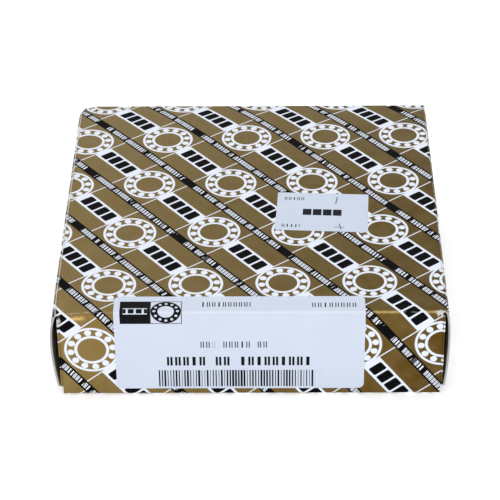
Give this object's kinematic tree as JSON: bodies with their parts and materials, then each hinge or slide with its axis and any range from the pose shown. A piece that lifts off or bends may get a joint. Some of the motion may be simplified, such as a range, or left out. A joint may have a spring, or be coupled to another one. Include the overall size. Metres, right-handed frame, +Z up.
{
  "type": "angular contact bearing",
  "caption": "Single-row angular contact ball bearing in its closed printed folding carton; the ends open on creases, the bearing slides out and its inner ring spins.",
  "frame": {"origin": "centre of the carton's footprint, on the surface that it lies on", "axes": "+Z up and along the bearing's axis, +X to the right and along the carton's sleeve, the labelled panel faces -Y"},
  "size_m": [0.0979, 0.0971, 0.0255],
  "materials": {
    "printed_board": "metallic gold and black print on coated folding board, satin",
    "raw_board": "uncoated white-grey inner face and cut edges",
    "label_paper": "smooth matt self-adhesive label paper",
    "corrugated_pad": "kraft corrugated board",
    "bearing_steel": "ground and honed bearing steel",
    "ball_steel": "polished",
    "phenolic": "machined fabric-reinforced phenolic resin"
  },
  "bodies": {
    "carton": {"top_panel": "printed_board", "front_panel": "printed_board", "bottom_panel": "printed_board", "back_panel": "printed_board", "glue_flap": "raw_board", "front_label": "label_paper", "inspection_sticker": "label_paper", "lower_pad": "corrugated_pad", "upper_pad": "corrugated_pad"},
    "left_closure": {"left_closure_panel": "printed_board"},
    "left_tuck": {"left_tuck_flap": "printed_board"},
    "left_front_dust": {"left_front_dust_flap": "printed_board"},
    "left_back_dust": {"left_back_dust_flap": "printed_board"},
    "right_closure": {"right_closure_panel": "printed_board"},
    "right_tuck": {"right_tuck_flap": "printed_board"},
    "right_front_dust": {"right_front_dust_flap": "printed_board"},
    "right_back_dust": {"right_back_dust_flap": "printed_board"},
    "outer_ring": {"outer_ring": "bearing_steel"},
    "inner_ring": {"inner_ring": "bearing_steel"},
    "cage": {"cage": "phenolic"},
    "ball_01": {"ball_01": "ball_steel"},
    "ball_02": {"ball_02": "ball_steel"},
    "ball_03": {"ball_03": "ball_steel"},
    "ball_04": {"ball_04": "ball_steel"},
    "ball_05": {"ball_05": "ball_steel"},
    "ball_06": {"ball_06": "ball_steel"},
    "ball_07": {"ball_07": "ball_steel"},
    "ball_08": {"ball_08": "ball_steel"},
    "ball_09": {"ball_09": "ball_steel"},
    "ball_10": {"ball_10": "ball_steel"},
    "ball_11": {"ball_11": "ball_steel"},
    "ball_12": {"ball_12": "ball_steel"},
    "ball_13": {"ball_13": "ball_steel"},
    "ball_14": {"ball_14": "ball_steel"},
    "ball_15": {"ball_15": "ball_steel"},
    "ball_16": {"ball_16": "ball_steel"},
    "ball_17": {"ball_17": "ball_steel"},
    "ball_18": {"ball_18": "ball_steel"},
    "ball_19": {"ball_19": "ball_steel"},
    "ball_20": {"ball_20": "ball_steel"}
  },
  "joints": [
    {"name": "bearing_pull_out", "type": "slide", "parent": "carton", "child": "outer_ring", "axis": [-1, 0, 0], "range_m": [0, 0.096]},
    {"name": "left_closure_hinge", "type": "hinge", "parent": "carton", "child": "left_closure", "pos_m": [-0.0479, 0, 0.0255], "axis": [0, 1, 0], "range_deg": [0, 255]},
    {"name": "left_tuck_hinge", "type": "hinge", "parent": "left_closure", "child": "left_tuck", "pos_m": [-0.04765, 0, 0.0015], "axis": [0, 1, 0], "range_deg": [0, 31]},
    {"name": "left_front_dust_hinge", "type": "hinge", "parent": "carton", "child": "left_front_dust", "pos_m": [-0.04705, -0.04825, 0.012], "axis": [0, 0, 1], "range_deg": [0, 159]},
    {"name": "left_back_dust_hinge", "type": "hinge", "parent": "carton", "child": "left_back_dust", "pos_m": [-0.04705, 0.04825, 0.012], "axis": [0, 0, -1], "range_deg": [0, 159]},
    {"name": "right_closure_hinge", "type": "hinge", "parent": "carton", "child": "right_closure", "pos_m": [0.0479, 0, 0.0255], "axis": [0, -1, 0], "range_deg": [0, 200]},
    {"name": "right_tuck_hinge", "type": "hinge", "parent": "right_closure", "child": "right_tuck", "pos_m": [0.04765, 0, 0.0015], "axis": [0, -1, 0], "range_deg": [0, 24]},
    {"name": "right_front_dust_hinge", "type": "hinge", "parent": "carton", "child": "right_front_dust", "pos_m": [0.04705, -0.04825, 0.012], "axis": [0, 0, -1], "range_deg": [0, 124]},
    {"name": "right_back_dust_hinge", "type": "hinge", "parent": "carton", "child": "right_back_dust", "pos_m": [0.04705, 0.04825, 0.012], "axis": [0, 0, 1], "range_deg": [0, 124]},
    {"name": "inner_ring_spin", "type": "hinge", "parent": "outer_ring", "child": "inner_ring", "pos_m": [0.0043, 0, 0.009], "axis": [0, 0, 1], "continuous": true},
    {"name": "cage_spin", "type": "hinge", "parent": "outer_ring", "child": "cage", "pos_m": [0.0043, 0, 0.009], "axis": [0, 0, 1], "continuous": true},
    {"name": "ball_01_spin", "type": "hinge", "parent": "cage", "child": "ball_01", "pos_m": [0.0401, 0.00567, 0.009], "axis": [-0.4174, -0.0661, 0.9063], "continuous": true},
    {"name": "ball_02_spin", "type": "hinge", "parent": "cage", "child": "ball_02", "pos_m": [0.0366, 0.01646, 0.009], "axis": [-0.3766, -0.1919, 0.9063], "continuous": true},
    {"name": "ball_03_spin", "type": "hinge", "parent": "cage", "child": "ball_03", "pos_m": [0.02993, 0.02563, 0.009], "axis": [-0.2988, -0.2988, 0.9063], "continuous": true},
    {"name": "ball_04_spin", "type": "hinge", "parent": "cage", "child": "ball_04", "pos_m": [0.02076, 0.0323, 0.009], "axis": [-0.1919, -0.3766, 0.9063], "continuous": true},
    {"name": "ball_05_spin", "type": "hinge", "parent": "cage", "child": "ball_05", "pos_m": [0.00997, 0.0358, 0.009], "axis": [-0.0661, -0.4174, 0.9063], "continuous": true},
    {"name": "ball_06_spin", "type": "hinge", "parent": "cage", "child": "ball_06", "pos_m": [-0.00137, 0.0358, 0.009], "axis": [0.0661, -0.4174, 0.9063], "continuous": true},
    {"name": "ball_07_spin", "type": "hinge", "parent": "cage", "child": "ball_07", "pos_m": [-0.01216, 0.0323, 0.009], "axis": [0.1919, -0.3766, 0.9063], "continuous": true},
    {"name": "ball_08_spin", "type": "hinge", "parent": "cage", "child": "ball_08", "pos_m": [-0.02133, 0.02563, 0.009], "axis": [0.2988, -0.2988, 0.9063], "continuous": true},
    {"name": "ball_09_spin", "type": "hinge", "parent": "cage", "child": "ball_09", "pos_m": [-0.028, 0.01646, 0.009], "axis": [0.3766, -0.1919, 0.9063], "continuous": true},
    {"name": "ball_10_spin", "type": "hinge", "parent": "cage", "child": "ball_10", "pos_m": [-0.0315, 0.00567, 0.009], "axis": [0.4174, -0.0661, 0.9063], "continuous": true},
    {"name": "ball_11_spin", "type": "hinge", "parent": "cage", "child": "ball_11", "pos_m": [-0.0315, -0.00567, 0.009], "axis": [0.4174, 0.0661, 0.9063], "continuous": true},
    {"name": "ball_12_spin", "type": "hinge", "parent": "cage", "child": "ball_12", "pos_m": [-0.028, -0.01646, 0.009], "axis": [0.3766, 0.1919, 0.9063], "continuous": true},
    {"name": "ball_13_spin", "type": "hinge", "parent": "cage", "child": "ball_13", "pos_m": [-0.02133, -0.02563, 0.009], "axis": [0.2988, 0.2988, 0.9063], "continuous": true},
    {"name": "ball_14_spin", "type": "hinge", "parent": "cage", "child": "ball_14", "pos_m": [-0.01216, -0.0323, 0.009], "axis": [0.1919, 0.3766, 0.9063], "continuous": true},
    {"name": "ball_15_spin", "type": "hinge", "parent": "cage", "child": "ball_15", "pos_m": [-0.00137, -0.0358, 0.009], "axis": [0.0661, 0.4174, 0.9063], "continuous": true},
    {"name": "ball_16_spin", "type": "hinge", "parent": "cage", "child": "ball_16", "pos_m": [0.00997, -0.0358, 0.009], "axis": [-0.0661, 0.4174, 0.9063], "continuous": true},
    {"name": "ball_17_spin", "type": "hinge", "parent": "cage", "child": "ball_17", "pos_m": [0.02076, -0.0323, 0.009], "axis": [-0.1919, 0.3766, 0.9063], "continuous": true},
    {"name": "ball_18_spin", "type": "hinge", "parent": "cage", "child": "ball_18", "pos_m": [0.02993, -0.02563, 0.009], "axis": [-0.2988, 0.2988, 0.9063], "continuous": true},
    {"name": "ball_19_spin", "type": "hinge", "parent": "cage", "child": "ball_19", "pos_m": [0.0366, -0.01646, 0.009], "axis": [-0.3766, 0.1919, 0.9063], "continuous": true},
    {"name": "ball_20_spin", "type": "hinge", "parent": "cage", "child": "ball_20", "pos_m": [0.0401, -0.00567, 0.009], "axis": [-0.4174, 0.0661, 0.9063], "continuous": true}
  ],
  "couplings": [
    {"joint": "left_closure_hinge", "follows": "bearing_pull_out", "rad_per_m": 46.25},
    {"joint": "left_tuck_hinge", "follows": "bearing_pull_out", "rad_per_m": 5.55},
    {"joint": "left_front_dust_hinge", "follows": "bearing_pull_out", "rad_per_m": 28.675},
    {"joint": "left_back_dust_hinge", "follows": "bearing_pull_out", "rad_per_m": 28.675},
    {"joint": "right_tuck_hinge", "follows": "right_closure_hinge", "ratio": 0.12},
    {"joint": "right_front_dust_hinge", "follows": "right_closure_hinge", "ratio": 0.62},
    {"joint": "right_back_dust_hinge", "follows": "right_closure_hinge", "ratio": 0.62},
    {"joint": "cage_spin", "follows": "inner_ring_spin", "ratio": 0.45038},
    {"joint": "ball_01_spin", "follows": "inner_ring_spin", "ratio": -4.5217},
    {"joint": "ball_02_spin", "follows": "inner_ring_spin", "ratio": -4.5217},
    {"joint": "ball_03_spin", "follows": "inner_ring_spin", "ratio": -4.5217},
    {"joint": "ball_04_spin", "follows": "inner_ring_spin", "ratio": -4.5217},
    {"joint": "ball_05_spin", "follows": "inner_ring_spin", "ratio": -4.5217},
    {"joint": "ball_06_spin", "follows": "inner_ring_spin", "ratio": -4.5217},
    {"joint": "ball_07_spin", "follows": "inner_ring_spin", "ratio": -4.5217},
    {"joint": "ball_08_spin", "follows": "inner_ring_spin", "ratio": -4.5217},
    {"joint": "ball_09_spin", "follows": "inner_ring_spin", "ratio": -4.5217},
    {"joint": "ball_10_spin", "follows": "inner_ring_spin", "ratio": -4.5217},
    {"joint": "ball_11_spin", "follows": "inner_ring_spin", "ratio": -4.5217},
    {"joint": "ball_12_spin", "follows": "inner_ring_spin", "ratio": -4.5217},
    {"joint": "ball_13_spin", "follows": "inner_ring_spin", "ratio": -4.5217},
    {"joint": "ball_14_spin", "follows": "inner_ring_spin", "ratio": -4.5217},
    {"joint": "ball_15_spin", "follows": "inner_ring_spin", "ratio": -4.5217},
    {"joint": "ball_16_spin", "follows": "inner_ring_spin", "ratio": -4.5217},
    {"joint": "ball_17_spin", "follows": "inner_ring_spin", "ratio": -4.5217},
    {"joint": "ball_18_spin", "follows": "inner_ring_spin", "ratio": -4.5217},
    {"joint": "ball_19_spin", "follows": "inner_ring_spin", "ratio": -4.5217},
    {"joint": "ball_20_spin", "follows": "inner_ring_spin", "ratio": -4.5217}
  ]
}
